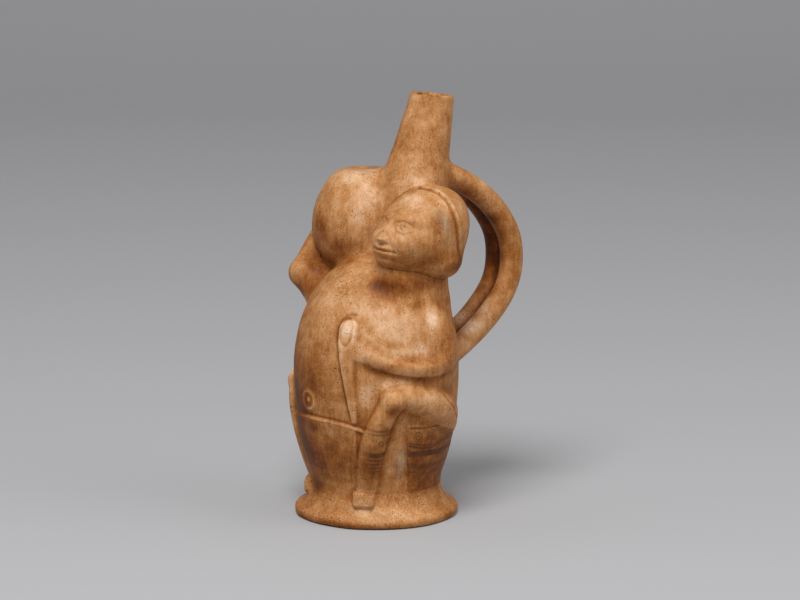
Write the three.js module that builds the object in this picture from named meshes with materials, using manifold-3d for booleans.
// Handle spout vessel: a seated carrier with a jar on the right shoulder, in burnished clay.
// Millimetres, +Z up. The figure looks along -Y, its left hand is on +X and the handle on +Y.
// The origin is the middle of the foot, on the surface that the vessel stands on.
// Each piece of clay is its own solid, and the luting between two pieces is a narrow gap.
import * as THREE from 'three';
import { mergeVertices } from 'three/addons/utils/BufferGeometryUtils.js';
import Module from 'manifold-3d';

const wasm = await Module();
wasm.setup();

const LUTING = 0.3; // joint of slip between two pieces of clay
const WALL = 4.2; // clay of the body and of the spout

const BASE_THICKNESS = 6; // slab that the body stands on
const FOOT_RADIUS = 41.9; // widest part of the flared foot
const FOOT_HEIGHT = 16.5;
const FOOT_EDGE_HEIGHT = 4.6; // top of the rounded edge
const FOOT_EDGE_ROUND = 1.7;

const BODY_FOOT_RADIUS = 29.5;
const BODY_FOOT_HEIGHT = 13;
const BELLY_RADIUS = 42;
const BELLY_HEIGHT = 76;
const BODY_HEIGHT = 133;
const LOWER_CURVE = 2.1; // how late the belly draws in towards the foot
const UPPER_CURVE = 2; // how late it closes over the shoulders

const SPOUT_RISE = 78.5; // rim above the top of the body
const SPOUT_SINK = 20; // how far the spout's tube starts below the top of the body
const SPOUT_LEAN = 14; // degrees, backwards
const SPOUT_BACK = 15; // spout axis behind the foot's axis, at the top of the body
const SPOUT_RIM_RADIUS = 10.9;
const SPOUT_MID_RADIUS = 14.6; // two thirds of the way up
const SPOUT_WAIST_RADIUS = 17.7; // where the straight root ends
const SPOUT_ROOT_RADIUS = 18.6;
const SPOUT_RIM_WALL = 3.4;
const RIM_TILT = 8; // degrees, the rim falls towards the handle
const RIM_SPARE = 3; // clay above the rim before it is cut

const STRAND_RADIUS = 6.1; // the handle is two rolls of clay side by side
const HANDLE_REACH = 79.3; // middle of the strands at their furthest, behind the foot's axis
const HANDLE_TOP_LIFT = 39.5; // upper seat above the top of the body
const HANDLE_FOOT_SHARE = 0.545; // lower seat up the body

const NECK_HALF_WIDTH = 15;
const NECK_HALF_DEPTH = 20.5;
const NECK_FLARE = 1.2;
const NECK_SIDE = 20;
const NECK_BACK = 7.5;
const NECK_RISE = -2; // top of the neck above the top of the body
const NECK_CREASE_SHARE = 0.8; // foot of the neck up the body

const HEAD_SIDE = 23;
const HEAD_BACK = 12.4;
const HEAD_LIFT = 13.4; // middle of the head above the top of the body
const HEAD_HALF_WIDTH = 20.5;
const HEAD_HALF_DEPTH = 23;
const HEAD_HALF_HEIGHT = 23.4;
const HEAD_FULLNESS = 0.85; // 1 is an egg, less is squarer at the jaw and the crown
const HEAD_SLOPE = 0.36; // how far back the crown lies over the jaw, for each unit of height
const HEAD_TILT = 14; // degrees, the face lifted
const HEAD_TURN = -2; // degrees, towards the figure's left
const CAP_THICKNESS = 0.9; // step of the cap over the face
const CAP_EDGE = 7; // cap edge from the middle of the head
const CAP_SLOPE = 29; // degrees, edge from forehead down to the nape

const JAR_RADIUS = 27.8;
const JAR_UPPER_HEIGHT = 33; // the upper half runs up to a blunt point that the mouth cuts off
const JAR_UPPER_CURVE = 1.85;
const JAR_SIDE = -24;
const JAR_BACK = 9.9;
const JAR_LIFT = 11; // widest part above the top of the body
const JAR_MOUTH_RADIUS = 13.2;
const JAR_LIP = 2.2; // width of the lip round the dished mouth
const JAR_DISH = 3;

const ARM_RADIUS = 8.2; // raised right arm
const ELBOW_SIDE = -40.4;
const ELBOW_FRONT = -16.8;
const ELBOW_DROP = 14; // elbow below the top of the body
const SHOULDER_RADIUS = 12.8;
const SHOULDER_TURN = -76;
const SHOULDER_SHARE = 0.805; // up the body
const WRIST_RADIUS = 6;
const FINGER_RADIUS = 5;

const SHOULDER_HALF_WIDTH = 14; // left upper arm, in relief on the body
const LEFT_ARM_HALF_WIDTH = 5.2;
const LEFT_ARM_RELIEF = 4.6;
const LEG_HALF_WIDTH = 6.4;
const LEG_RELIEF = 6;
const FIGURE_FOOT_RADIUS = 5.3;
const FIGURE_FOOT_REACH = 5.5; // toes beyond the side of the body
const LEFT_FOOT_TURN = 45;
const RIGHT_FOOT_TURN = -38;

const PADDLE_HALF_WIDTH = 5.6;
const PADDLE_RELIEF = 2.6;
const INLAY_HALF_WIDTH = 3.1;
const INLAY_RELIEF = 3.5;
const INLAY_DEPTH = 1.1; // clay left under the inlay of the paddle

const NAVEL_RADIUS = 4.4;
const NAVEL_ROLL = 1;
const NAVEL_TURN = 2.5;
const NAVEL_SHARE = 0.418;
const BAND_HALF_HEIGHT = 1.5; // waistband
const BAND_RELIEF = 1.7;
const BAND_SHARE = 0.337; // waistband up the body
const BAND_ENDS = [-38, 46]; // turns
const CLOTH_THICKNESS = 1;
const CLOTH_HEM_SHARE = 0.04;
const LOINCLOTH_ENDS = [-36, 44];
const LEFT_HIP_CLOTH_ENDS = [77, 158];
const RIGHT_HIP_CLOTH_ENDS = [-158, -70];

const BODY_SIDES = 40;

const colours = {
  clay: 0xb98250,
  pale: 0xd2a377,
  dark: 0x8a5730,
};

const rad = THREE.MathUtils.degToRad;
const v3 = (x, y, z) => new THREE.Vector3(x, y, z);
const mix = THREE.MathUtils.lerp;

// Solids

// A closed geometry as a solid: shared corners are merged and triangles without area left out.
function solid(geometry) {
  const bare = new THREE.BufferGeometry();
  bare.setAttribute('position', geometry.getAttribute('position'));
  if (geometry.index) bare.setIndex(geometry.index);
  const merged = mergeVertices(bare, 1e-4);
  const triangles = [];
  const index = merged.index.array;
  for (let i = 0; i < index.length; i += 3) {
    const [a, b, c] = index.slice(i, i + 3);
    if (a !== b && b !== c && c !== a) triangles.push(a, b, c);
  }
  return new wasm.Manifold(new wasm.Mesh({
    numProp: 3,
    vertProperties: new Float32Array(merged.getAttribute('position').array),
    triVerts: new Uint32Array(triangles),
  }));
}

// A piece less its neighbours. Crumbs that a cut leaves beside the piece are dropped.
function without(piece, ...others) {
  const rest = others.reduce((left, other) => left.subtract(other), piece);
  return rest.decompose().reduce((a, b) => (a.volume() > b.volume() ? a : b));
}

// A profile of [radius, height] pairs from the bottom up, turned round the vertical axis.
function turned(profile, sides = BODY_SIDES) {
  const points = profile.map(([r, z]) => new THREE.Vector2(r, z));
  return new THREE.LatheGeometry(points, sides).rotateX(Math.PI / 2);
}

// A skin over rings that follow each other along a path, each running anticlockwise round it.
function lofted(rings) {
  const count = rings[0].length;
  const points = rings.flat();
  const triangles = [];
  for (let i = 0; i + 1 < rings.length; i++) {
    for (let j = 0; j < count; j++) {
      const a = i * count + j;
      const b = i * count + (j + 1) % count;
      triangles.push(a, b, b + count, a, b + count, a + count);
    }
  }
  const middle = ring => ring.reduce((sum, p) => sum.add(p), v3(0, 0, 0)).divideScalar(count);
  const first = points.push(middle(rings[0])) - 1;
  const last = points.push(middle(rings.at(-1))) - 1;
  const end = (rings.length - 1) * count;
  for (let j = 0; j < count; j++) {
    const next = (j + 1) % count;
    triangles.push(first, next, j, last, end + j, end + next);
  }
  return new THREE.BufferGeometry().setFromPoints(points).setIndex(triangles);
}

// Rings round a path: each station has a middle, a way along, a way out, a half width and a height.
// Both ends are rounded off by smaller rings.
function roundedLimb(stations, sides) {
  const rings = [];
  const ring = (s, along, share) => {
    const side = s.out.clone().cross(s.along).normalize();
    const middle = s.middle.clone().addScaledVector(s.along, along);
    return Array.from({ length: sides }, (_, k) => {
      const turn = 2 * Math.PI * k / sides;
      return middle.clone()
        .addScaledVector(side, Math.cos(turn) * s.width * share)
        .addScaledVector(s.out, Math.sin(turn) * s.height * share);
    });
  };
  const ends = [65, 35].map(rad);
  const start = stations[0];
  const stop = stations.at(-1);
  for (const turn of ends) {
    rings.push(ring(start, -start.cap * Math.sin(turn), Math.cos(turn)));
  }
  for (const s of stations) rings.push(ring(s, 0, 1));
  for (const turn of ends.reverse()) {
    rings.push(ring(stop, stop.cap * Math.sin(turn), Math.cos(turn)));
  }
  return lofted(rings);
}

// The body's outline

const upBody = share => mix(BODY_FOOT_HEIGHT, BODY_HEIGHT, share);

// Radius of the body at a height: a power curve below the belly and a long ellipse above it.
function bodyRadius(z, grow = 0) {
  const belly = BELLY_RADIUS + grow;
  if (z < BODY_FOOT_HEIGHT) return BODY_FOOT_RADIUS + grow;
  if (z < BELLY_HEIGHT) {
    const down = (BELLY_HEIGHT - z) / (BELLY_HEIGHT - BODY_FOOT_HEIGHT);
    return belly - (BELLY_RADIUS - BODY_FOOT_RADIUS) * down ** LOWER_CURVE;
  }
  const up = Math.min(1, (z - BELLY_HEIGHT) / (BODY_HEIGHT + grow - BELLY_HEIGHT));
  return belly * Math.sqrt(1 - up ** UPPER_CURVE);
}

// The body as one solid, grown or shrunk all over, from a given bottom up to its top.
function bodySolid(grow, bottom, rings = 9, sides = BODY_SIDES) {
  const profile = [[0, bottom], [bodyRadius(bottom, grow), bottom]];
  for (let i = 0; i < rings; i++) {
    const z = mix(BODY_FOOT_HEIGHT, BELLY_HEIGHT, i / rings);
    if (z > bottom) profile.push([bodyRadius(z, grow), z]);
  }
  const top = BODY_HEIGHT + grow;
  for (let i = 0; i < rings; i++) {
    const z = mix(BELLY_HEIGHT, top, Math.sin(i / rings * Math.PI / 2));
    profile.push([bodyRadius(z, grow), z]);
  }
  profile.push([0, top]);
  return solid(turned(profile, sides));
}

// The point and the outward direction on the body, at a turn from the front and a share of its height.
function onBody(turn, share, grow = 0) {
  const z = upBody(share);
  const r = bodyRadius(z, grow);
  const slope = (bodyRadius(z + 0.5) - bodyRadius(z - 0.5));
  const a = rad(turn);
  const round = v3(Math.sin(a), -Math.cos(a), 0);
  return {
    point: round.clone().multiplyScalar(r).setZ(z),
    out: round.clone().setZ(-slope).normalize(),
  };
}

// A limb in relief on the body. Each mark is [turn, share up the body, and the shares there of the
// limb's half width and of its height over the body].
function limbOnBody({ width, height, marks }, grow = 0, steps = 8, sides = 10) {
  const places = new THREE.CatmullRomCurve3(marks.map(([turn, share]) => v3(turn / 100, share, 0)));
  const sizes = new THREE.CatmullRomCurve3(marks.map(m => v3(m[2] * width, m[3] * height, 0)));
  const at = t => {
    const p = places.getPoint(t);
    return onBody(p.x * 100, p.y);
  };
  const stations = [];
  for (let i = 0; i <= steps; i++) {
    const t = i / steps;
    const { point, out } = at(t);
    const along = at(Math.min(1, t + 0.02)).point.sub(at(Math.max(0, t - 0.02)).point).normalize();
    const size = sizes.getPoint(t);
    const half = size.x + grow;
    stations.push({ middle: point, along, out, width: half, height: size.y + grow, cap: half });
  }
  return solid(roundedLimb(stations, sides));
}

// A round limb through free space. Each mark is [point, radius].
function freeLimb(marks, grow = 0, steps = 5, sides = 12) {
  const path = new THREE.CatmullRomCurve3(marks.map(m => m[0]));
  const radii = new THREE.CatmullRomCurve3(marks.map(m => v3(m[1], 0, 0)));
  const frames = path.computeFrenetFrames(steps);
  const stations = Array.from({ length: steps + 1 }, (_, i) => {
    const radius = radii.getPoint(i / steps).x + grow;
    return {
      middle: path.getPointAt(i / steps),
      along: frames.tangents[i],
      out: frames.normals[i],
      width: radius,
      height: radius,
      cap: radius,
    };
  });
  return solid(roundedLimb(stations, sides));
}

// A wedge of space round the body between two turns and two heights.
function sector(from, to, bottom, top) {
  const reach = 2 * BELLY_RADIUS;
  const shape = new THREE.Shape();
  shape.moveTo(0, 0);
  const steps = Math.ceil((to - from) / 30);
  for (let i = 0; i <= steps; i++) {
    const a = rad(mix(from, to, i / steps));
    shape.lineTo(reach * Math.sin(a), -reach * Math.cos(a));
  }
  const wedge = new THREE.ExtrudeGeometry(shape, { depth: top - bottom, bevelEnabled: false });
  return solid(wedge.translate(0, 0, bottom));
}

// The vessel

const bodyJoint = bodySolid(LUTING, BASE_THICKNESS); // the body with its luting, which cuts what it carries

function baseDisc(grow = 0) {
  const r = BODY_FOOT_RADIUS + grow;
  return solid(turned([[0, 0], [r, 0], [r, BASE_THICKNESS + grow], [0, BASE_THICKNESS + grow]]));
}

// The flared foot: a rounded edge near the ground, then a hollow sweep up to the body that it hugs.
function footRing(grow = 0) {
  const edge = FOOT_RADIUS + grow;
  const top = FOOT_HEIGHT + grow;
  const inside = z => bodyRadius(z) + LUTING - grow;
  const lip = bodyRadius(FOOT_HEIGHT) + 3 * LUTING + grow;
  const round = FOOT_EDGE_ROUND;
  const profile = [[inside(0), 0], [edge - round, 0], [edge - round / 6, 0.7 * round], [edge, 1.8 * round]];
  const steps = 3;
  for (let i = 0; i <= steps; i++) {
    const t = i / steps * Math.PI / 2;
    profile.push([
      mix(edge - round / 4, lip, Math.sin(t) ** 1.6),
      mix(FOOT_EDGE_HEIGHT, top, 1 - Math.cos(t)),
    ]);
  }
  profile.push([inside(FOOT_HEIGHT), top], [inside(BODY_FOOT_HEIGHT), BODY_FOOT_HEIGHT], profile[0]);
  return solid(turned(profile));
}

function bodyShells() {
  const clay = without(
    bodySolid(0, BASE_THICKNESS + LUTING),
    bodySolid(-WALL, BASE_THICKNESS - WALL, 5, 20),
    spoutBore(),
  );
  const half = LUTING / 2;
  const halfSpace = (from, to) => solid(new THREE.BoxGeometry(4 * BELLY_RADIUS, to - from, 2 * BODY_HEIGHT)
    .translate(0, (from + to) / 2, BODY_HEIGHT / 2));
  return {
    front: clay.intersect(halfSpace(-2 * BELLY_RADIUS, -half)),
    back: clay.intersect(halfSpace(half, 2 * BELLY_RADIUS)),
  };
}

// Puts a geometry that stands on the vertical axis onto the leaning axis of the spout.
const ontoSpout = geometry => geometry.rotateX(-rad(SPOUT_LEAN)).translate(0, SPOUT_BACK, BODY_HEIGHT);
const spoutLength = SPOUT_RISE / Math.cos(rad(SPOUT_LEAN));

// The spout's axis at a height.
const spoutAxis = z => v3(0, SPOUT_BACK + (z - BODY_HEIGHT) * Math.tan(rad(SPOUT_LEAN)), z);

function spoutOuter(grow = 0) {
  const root = SPOUT_ROOT_RADIUS + grow;
  const profile = [
    [0, -SPOUT_SINK],
    [root, -SPOUT_SINK],
    [root, 0.2 * spoutLength],
    [SPOUT_WAIST_RADIUS + grow, 0.4 * spoutLength],
    [SPOUT_MID_RADIUS + grow, 0.62 * spoutLength],
    [SPOUT_RIM_RADIUS + grow, spoutLength + RIM_SPARE],
    [0, spoutLength + RIM_SPARE],
  ];
  return solid(ontoSpout(turned(profile, 26)));
}

function spoutBore() {
  const rim = SPOUT_RIM_RADIUS - SPOUT_RIM_WALL;
  const profile = [
    [0, -2 * SPOUT_SINK],
    [SPOUT_ROOT_RADIUS - 1.6 * WALL, -2 * SPOUT_SINK],
    [SPOUT_ROOT_RADIUS - 1.6 * WALL, 0.2 * spoutLength],
    [SPOUT_MID_RADIUS - WALL, 0.62 * spoutLength],
    [rim, spoutLength + RIM_SPARE],
    [0, spoutLength + RIM_SPARE],
  ];
  return solid(ontoSpout(turned(profile, 18)));
}

function spout() {
  const size = 6 * SPOUT_RIM_RADIUS;
  const top = spoutAxis(BODY_HEIGHT + SPOUT_RISE);
  const aboveRim = solid(new THREE.BoxGeometry(size, size, size)
    .translate(0, 0, size / 2).rotateX(-rad(RIM_TILT)).translate(top.x, top.y, top.z));
  return without(spoutOuter(), spoutBore(), aboveRim, bodyJoint);
}

// The loop of the handle from the spout's back to the body's back, as shares of its reach and height.
function handlePath(side) {
  const top = BODY_HEIGHT + HANDLE_TOP_LIFT;
  const bottom = upBody(HANDLE_FOOT_SHARE);
  const root = (spoutAxis(top).y + STRAND_RADIUS + bodyRadius(bottom)) / 2;
  const loop = [[-0.2, 1.04], [0.27, 0.87], [0.7, 0.58], [0.95, 0.24], [1, -0.06],
    [0.93, -0.34], [0.69, -0.62], [0.33, -0.885], [-0.1, -1.12]];
  return new THREE.CatmullRomCurve3(loop.map(([out, up]) => v3(
    side * (STRAND_RADIUS + LUTING / 2),
    mix(root, HANDLE_REACH, out),
    mix((top + bottom) / 2, top, up),
  )));
}

function handleStrand(side) {
  const round = new THREE.Shape().absarc(0, 0, STRAND_RADIUS, 0, 2 * Math.PI);
  const roll = new THREE.ExtrudeGeometry(round, {
    steps: 20, extrudePath: handlePath(side), curveSegments: 6, bevelEnabled: false,
  });
  return without(solid(roll), bodyJoint, spoutOuter(LUTING));
}

// The neck: an oval column, longer from front to back, with a slight flare at its foot.
function neckColumn(grow = 0) {
  const r = NECK_HALF_WIDTH + grow;
  const top = BODY_HEIGHT + NECK_RISE + grow;
  const crease = upBody(NECK_CREASE_SHARE);
  const root = crease - NECK_HALF_WIDTH / 2;
  const profile = [
    [0, root],
    [r + NECK_FLARE, root],
    [r + NECK_FLARE, crease],
    [r + NECK_FLARE / 3, mix(crease, top, 0.25)],
    [r, mix(crease, top, 0.5)],
    [r, top],
    [0, top],
  ];
  return solid(turned(profile, 24)
    .scale(1, (NECK_HALF_DEPTH + grow) / r, 1).translate(NECK_SIDE, NECK_BACK, 0));
}

// The head in its own frame: an egg with a narrower jaw, looking along -Y.
const bump = (x, half) => Math.exp(-((x / half) ** 2));

// How far the face stands proud of the egg, for a place x across and z up from the eyes, on a head
// whose half height is 24. Brow, foot of the nose and chin are a third of the face apart.
function faceRelief(x, z) {
  const third = 12.5;
  const brow = 4;
  const noseFoot = brow - third;
  const mouth = noseFoot - third * 0.36;
  const eye = 8;
  const side = Math.abs(x);
  const down = THREE.MathUtils.clamp((brow - z) / third, 0, 1);
  const nose = z > noseFoot - 1 && z < brow
    ? (0.8 + 4.6 * down ** 1.4) * bump(x, 1.7 + 2 * down) * bump(Math.max(0, noseFoot + 2 - z), 1.6)
    : 0;
  return nose
    + 1.3 * bump(z - brow, 2.4) * bump(Math.max(0, side - eye), 5)
    - 1.9 * bump(side - eye, 4.6) * bump(z - 0.4, 3.2)
    + 1.5 * bump(side - eye, 3.4) * bump(z + 0.4, 1.9)
    + 1.5 * bump(x, 5.6) * bump(z - mouth - 1.5, 1.3)
    + 1.7 * bump(x, 5) * bump(z - mouth + 1.5, 1.4)
    - 0.8 * bump(x, 6) * bump(z - mouth, 0.7)
    + 1.8 * bump(x, 6) * bump(z + 20, 3.6);
}

function headSolid(grow = 0, columns = 34, rows = 20) {
  const rings = [];
  const unit = HEAD_HALF_HEIGHT / 24;
  for (let i = 1; i < rows; i++) {
    const lift = mix(-90, 90, i / rows);
    const flat = Math.cos(rad(lift)) ** HEAD_FULLNESS;
    const rise = Math.abs(Math.sin(rad(lift))) ** HEAD_FULLNESS * Math.sign(lift);
    const z = (HEAD_HALF_HEIGHT + grow) * rise;
    const jaw = z < 0 ? 1 - 0.16 * (z / HEAD_HALF_HEIGHT) ** 2 : 1;
    rings.push(Array.from({ length: columns }, (_, k) => {
      const even = 2 * Math.PI * k / columns;
      const turn = even - 0.5 * Math.sin(even); // closer together on the face
      const x = (HEAD_HALF_WIDTH + grow) * flat * Math.sin(turn) * jaw;
      const slope = HEAD_SLOPE * z * (1 + Math.cos(turn)) / 2; // none at the back of the head
      const y = slope - (HEAD_HALF_DEPTH + grow) * flat * Math.cos(turn);
      const front = THREE.MathUtils.smoothstep(Math.cos(turn), 0.1, 0.5);
      return v3(x, y - front * unit * faceRelief(x / unit, z / unit), z);
    }));
  }
  return solid(placeHead(lofted(rings)));
}

const placeHead = geometry => geometry
  .rotateX(-rad(HEAD_TILT)).rotateZ(rad(HEAD_TURN))
  .translate(HEAD_SIDE, HEAD_BACK, BODY_HEIGHT + HEAD_LIFT);

// The space behind the edge of the cap, a plane from the forehead down to the nape.
function behindCapEdge(shift) {
  const size = 6 * HEAD_HALF_HEIGHT;
  return solid(placeHead(new THREE.BoxGeometry(size, size, size)
    .translate(0, size / 2 + CAP_EDGE + shift, 0).rotateX(rad(CAP_SLOPE))));
}

function headPieces(columns) {
  const face = without(headSolid(), behindCapEdge(0), ...columns);
  const cap = without(headSolid(CAP_THICKNESS).intersect(behindCapEdge(LUTING)), ...columns);
  return { face, cap };
}

// The jar on the shoulder: half a ball below, and above it a blunter half with a flat, dished top.
function jarSolid(grow = 0) {
  const mouth = (1 - (JAR_MOUTH_RADIUS / JAR_RADIUS) ** 2) ** (1 / JAR_UPPER_CURVE);
  const radius = JAR_RADIUS + grow;
  const steps = 6;
  const profile = [];
  for (let i = 0; i < steps; i++) {
    const down = i / steps * Math.PI / 2;
    profile.push([radius * Math.sin(down), -radius * Math.cos(down)]);
  }
  for (let i = 0; i <= steps; i++) {
    const up = mouth * Math.sin(i / steps * Math.PI / 2);
    profile.push([JAR_RADIUS * Math.sqrt(1 - up ** JAR_UPPER_CURVE) + grow, up * JAR_UPPER_HEIGHT + grow]);
  }
  const top = profile.at(-1)[1];
  if (!grow) {
    profile.push([JAR_MOUTH_RADIUS - JAR_LIP, top], [JAR_MOUTH_RADIUS - 2 * JAR_LIP, top - JAR_DISH]);
  }
  profile.push([0, grow ? top : top - JAR_DISH]);
  return solid(turned(profile, 24).translate(JAR_SIDE, JAR_BACK, BODY_HEIGHT + JAR_LIFT));
}

// Arms, legs and dress

const leftArm = (width, marks) => ({ width, height: LEFT_ARM_RELIEF, marks });
const leg = marks => ({ width: LEG_HALF_WIDTH, height: LEG_RELIEF, marks });

const LEFT_UPPER_ARM = leftArm(SHOULDER_HALF_WIDTH, [
  [92, 0.82, 0.86, 0.7], [101, 0.73, 1, 1], [109, 0.615, 0.71, 1],
]);
const LEFT_FOREARM = leftArm(LEFT_ARM_HALF_WIDTH, [
  [108, 0.575, 1.15, 1], [90, 0.572, 1, 1], [70, 0.592, 0.94, 0.96], [52, 0.635, 0.88, 0.87],
]);
const LEFT_HAND = leftArm(LEFT_ARM_HALF_WIDTH, [[47, 0.645, 0.77, 0.91], [43, 0.65, 0.73, 0.91]]);
const LEFT_THIGH = leg([
  [116, 0.4, 1.17, 0.57], [96, 0.445, 1, 0.77], [74, 0.458, 0.94, 1], [66, 0.44, 0.94, 1.03],
]);
const LEFT_SHIN = leg([
  [60, 0.4, 1, 0.97], [54, 0.27, 0.98, 0.8], [50, 0.15, 0.91, 0.7], [48, 0.06, 0.78, 0.67],
]);
const RIGHT_THIGH = leg([
  [-104, 0.38, 1.17, 0.57], [-84, 0.435, 1, 0.85], [-62, 0.45, 0.97, 1.12], [-54, 0.43, 0.97, 1.1],
]);
const RIGHT_SHIN = leg([
  [-51, 0.37, 1, 1.07], [-47, 0.25, 0.97, 0.85], [-44, 0.14, 0.88, 0.67], [-41, 0.06, 0.75, 0.55],
]);
const PADDLE = {
  width: PADDLE_HALF_WIDTH,
  height: PADDLE_RELIEF,
  marks: [[40.5, 0.36, 0.29, 0.62], [38.5, 0.45, 0.48, 0.85], [36, 0.56, 0.66, 0.96],
    [35, 0.66, 0.89, 1], [35.5, 0.73, 1, 0.96], [36, 0.76, 0.82, 0.88]],
};
const INLAY = {
  width: INLAY_HALF_WIDTH,
  height: INLAY_RELIEF,
  marks: [[34.5, 0.69, 0.77, 0.97], [35, 0.72, 1, 1], [35.5, 0.75, 0.77, 0.91]],
};

// The raised right arm: shoulder, elbow and the wrist against the far side of the jar.
const shoulder = onBody(SHOULDER_TURN, SHOULDER_SHARE).point;
const elbow = v3(ELBOW_SIDE, ELBOW_FRONT, BODY_HEIGHT - ELBOW_DROP);
const jarMiddle = v3(JAR_SIDE, JAR_BACK, BODY_HEIGHT + JAR_LIFT);
const onJar = (x, y, z) => jarMiddle.clone().addScaledVector(v3(x, y, z).normalize(), JAR_RADIUS);
const wrist = onJar(-0.9, -0.3, -0.2);
const fingers = onJar(-0.92, -0.12, 0.3);

const upperArm = grow => freeLimb([[shoulder, SHOULDER_RADIUS], [elbow, ARM_RADIUS]], grow);
const forearm = grow => freeLimb([[elbow, ARM_RADIUS], [wrist, WRIST_RADIUS]], grow);
const hand = grow => freeLimb([[wrist, WRIST_RADIUS], [fingers, FINGER_RADIUS]], grow);

// A foot: a short block of clay that points outwards over the edge of the foot ring.
function figureFoot(turn, grow = 0) {
  const a = rad(turn);
  const out = v3(Math.sin(a), -Math.cos(a), 0);
  const at = (reach, z) => out.clone().multiplyScalar(reach).setZ(z);
  return freeLimb([
    [at(BODY_FOOT_RADIUS, FOOT_HEIGHT), FIGURE_FOOT_RADIUS],
    [at(BODY_FOOT_RADIUS + FIGURE_FOOT_REACH, FOOT_HEIGHT - FIGURE_FOOT_REACH / 2), FIGURE_FOOT_RADIUS],
  ], grow, 3, 12);
}

// A flap of cloth on the body between two turns, from its hem up to the waistband.
function clothPanel([from, to], ...over) {
  const cloth = bodySolid(LUTING + CLOTH_THICKNESS, BASE_THICKNESS)
    .intersect(sector(from, to, upBody(CLOTH_HEM_SHARE), upBody(BAND_SHARE)));
  return without(cloth, bodyJoint, footRing(LUTING), ...over);
}

function waistband(grow, ...over) {
  const [from, to] = BAND_ENDS;
  const marks = [from, (from + to) / 2, to].map(turn => [turn, BAND_SHARE, 1, 1]);
  const band = limbOnBody({ width: BAND_HALF_HEIGHT, height: BAND_RELIEF, marks }, grow, 10, 8);
  return without(band, ...over);
}

function navelRing() {
  const { point, out } = onBody(NAVEL_TURN, NAVEL_SHARE);
  const ring = new THREE.TorusGeometry(NAVEL_RADIUS, NAVEL_ROLL, 6, 16);
  ring.applyQuaternion(new THREE.Quaternion().setFromUnitVectors(v3(0, 0, 1), out));
  return without(solid(ring.translate(point.x, point.y, point.z)), bodyJoint);
}

// Assembly

const group = new THREE.Group();

function addPiece(name, piece, colour = colours.clay) {
  const mesh = piece.getMesh();
  const geometry = new THREE.BufferGeometry();
  geometry.setAttribute('position', new THREE.BufferAttribute(mesh.vertProperties, 3));
  geometry.setIndex(new THREE.BufferAttribute(mesh.triVerts, 1));
  geometry.computeVertexNormals();
  const material = new THREE.MeshStandardMaterial({ color: colour, roughness: 0.6, metalness: 0 });
  const named = new THREE.Mesh(geometry, material);
  named.name = name;
  group.add(named);
}

const shells = bodyShells();
addPiece('base_disc', baseDisc());
addPiece('foot_ring', footRing(), colours.dark);
addPiece('body_front_shell', shells.front);
addPiece('body_back_shell', shells.back);
addPiece('spout', spout());
addPiece('handle_left_strand', handleStrand(1));
addPiece('handle_right_strand', handleStrand(-1));

const spoutJoint = spoutOuter(LUTING);
const neckJoint = neckColumn(LUTING);
const headJoint = headSolid(CAP_THICKNESS + LUTING);
const jarJoint = jarSolid(LUTING);
addPiece('neck', without(neckColumn(), bodyJoint, spoutJoint), colours.dark);
const head = headPieces([spoutJoint, neckJoint]);
addPiece('head_face', head.face, colours.pale);
addPiece('head_cap', head.cap);
addPiece('shoulder_jar', without(jarSolid(), bodyJoint, spoutJoint, neckJoint, headJoint), colours.pale);

addPiece('right_upper_arm', without(upperArm(0), bodyJoint, jarJoint));
addPiece('right_forearm', without(forearm(0), upperArm(LUTING), bodyJoint, jarJoint));
addPiece('right_hand', without(hand(0), forearm(LUTING), upperArm(LUTING), bodyJoint, jarJoint));

addPiece('left_upper_arm', without(limbOnBody(LEFT_UPPER_ARM), bodyJoint, neckJoint));
const leftUpperArm = limbOnBody(LEFT_UPPER_ARM, LUTING);
addPiece('left_forearm', without(limbOnBody(LEFT_FOREARM), leftUpperArm, bodyJoint), colours.pale);
const inlayRecess = without(limbOnBody(INLAY, LUTING), bodySolid(INLAY_DEPTH, BASE_THICKNESS));
const paddleJoint = limbOnBody(PADDLE, LUTING, 10, 8);
addPiece('paddle', without(limbOnBody(PADDLE, 0, 10, 8), bodyJoint, inlayRecess));
addPiece('paddle_inlay', without(limbOnBody(INLAY, 0, 6), bodySolid(INLAY_DEPTH + LUTING, BASE_THICKNESS)),
  colours.pale);
addPiece('left_hand', without(limbOnBody(LEFT_HAND, 0, 3), limbOnBody(LEFT_FOREARM, LUTING),
  paddleJoint, bodyJoint), colours.pale);

const legs = {};
for (const [side, thigh, shin, turn] of [
  ['left', LEFT_THIGH, LEFT_SHIN, LEFT_FOOT_TURN],
  ['right', RIGHT_THIGH, RIGHT_SHIN, RIGHT_FOOT_TURN],
]) {
  const thighJoint = limbOnBody(thigh, LUTING);
  const shinJoint = limbOnBody(shin, LUTING);
  addPiece(`${side}_thigh`, without(limbOnBody(thigh), bodyJoint));
  addPiece(`${side}_shin`, without(limbOnBody(shin), thighJoint, bodyJoint, footRing(LUTING)));
  addPiece(`${side}_foot`, without(figureFoot(turn), shinJoint, bodyJoint, footRing(LUTING)));
  legs[side] = [thighJoint, shinJoint, figureFoot(turn, LUTING)];
}
const everyLeg = [...legs.left, ...legs.right];

addPiece('navel_ring', navelRing());
addPiece('waistband', waistband(0, bodyJoint, paddleJoint, ...everyLeg));
addPiece('loincloth_front', clothPanel(LOINCLOTH_ENDS, waistband(LUTING), ...everyLeg), colours.dark);
addPiece('hip_cloth_left', clothPanel(LEFT_HIP_CLOTH_ENDS, ...everyLeg), colours.dark);
addPiece('hip_cloth_right', clothPanel(RIGHT_HIP_CLOTH_ENDS, ...everyLeg), colours.dark);

export default group;
